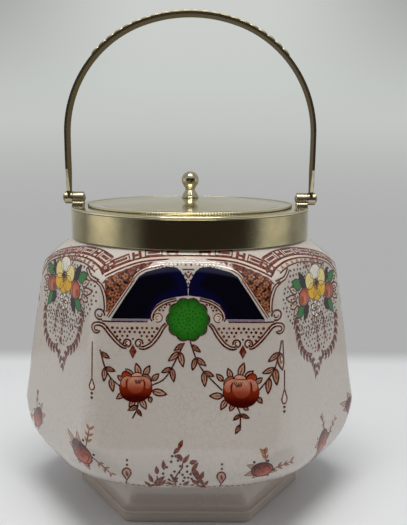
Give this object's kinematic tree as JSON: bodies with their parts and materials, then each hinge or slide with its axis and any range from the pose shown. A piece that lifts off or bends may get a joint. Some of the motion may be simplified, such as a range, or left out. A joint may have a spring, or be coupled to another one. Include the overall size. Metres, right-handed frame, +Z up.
{
  "type": "biscuit jar",
  "caption": "Hexagonal glazed earthenware biscuit jar with a plated collar, a lift-off plated lid with a ball knob and a swing bail.",
  "frame": {"origin": "middle of the resting face under the foot, at the jar's vertical axis", "axes": "+Z up along the jar's axis; -Y out of the flat face that looks at the camera; X along the hinge line of the bail"},
  "size_m": [0.172, 0.1536, 0.2428],
  "materials": {
    "glazed_earthenware": "glossy transparent glaze with fine crazing over printed and enamelled ornament",
    "plaster": "matt set plaster",
    "silver_plate": "worn polished silver plate with a warm haze",
    "nickel_rivet": "polished nickel"
  },
  "bodies": {
    "jar": {"jar_body": "glazed_earthenware", "plaster_bed": "plaster", "collar_band": "silver_plate", "rim_plate": "silver_plate", "hinge_lug_left": "silver_plate", "hinge_lug_right": "silver_plate", "hinge_rivet_left": "nickel_rivet", "hinge_rivet_right": "nickel_rivet"},
    "bail": {"bail_strap": "silver_plate", "bead_border_front": "silver_plate", "bead_border_back": "silver_plate"},
    "lid": {"lid_cover": "silver_plate", "lid_skirt": "silver_plate", "knob": "silver_plate", "knob_washer": "nickel_rivet", "knob_nut": "nickel_rivet"}
  },
  "joints": [
    {"name": "bail_swing", "type": "hinge", "parent": "jar", "child": "bail", "pos_m": [0, 0, 0.1508], "axis": [1, 0, 0], "range_deg": [-115, 115]},
    {"name": "lid_lift", "type": "slide", "parent": "jar", "child": "lid", "axis": [0, 0, 1], "range_m": [0, 0.045]}
  ]
}
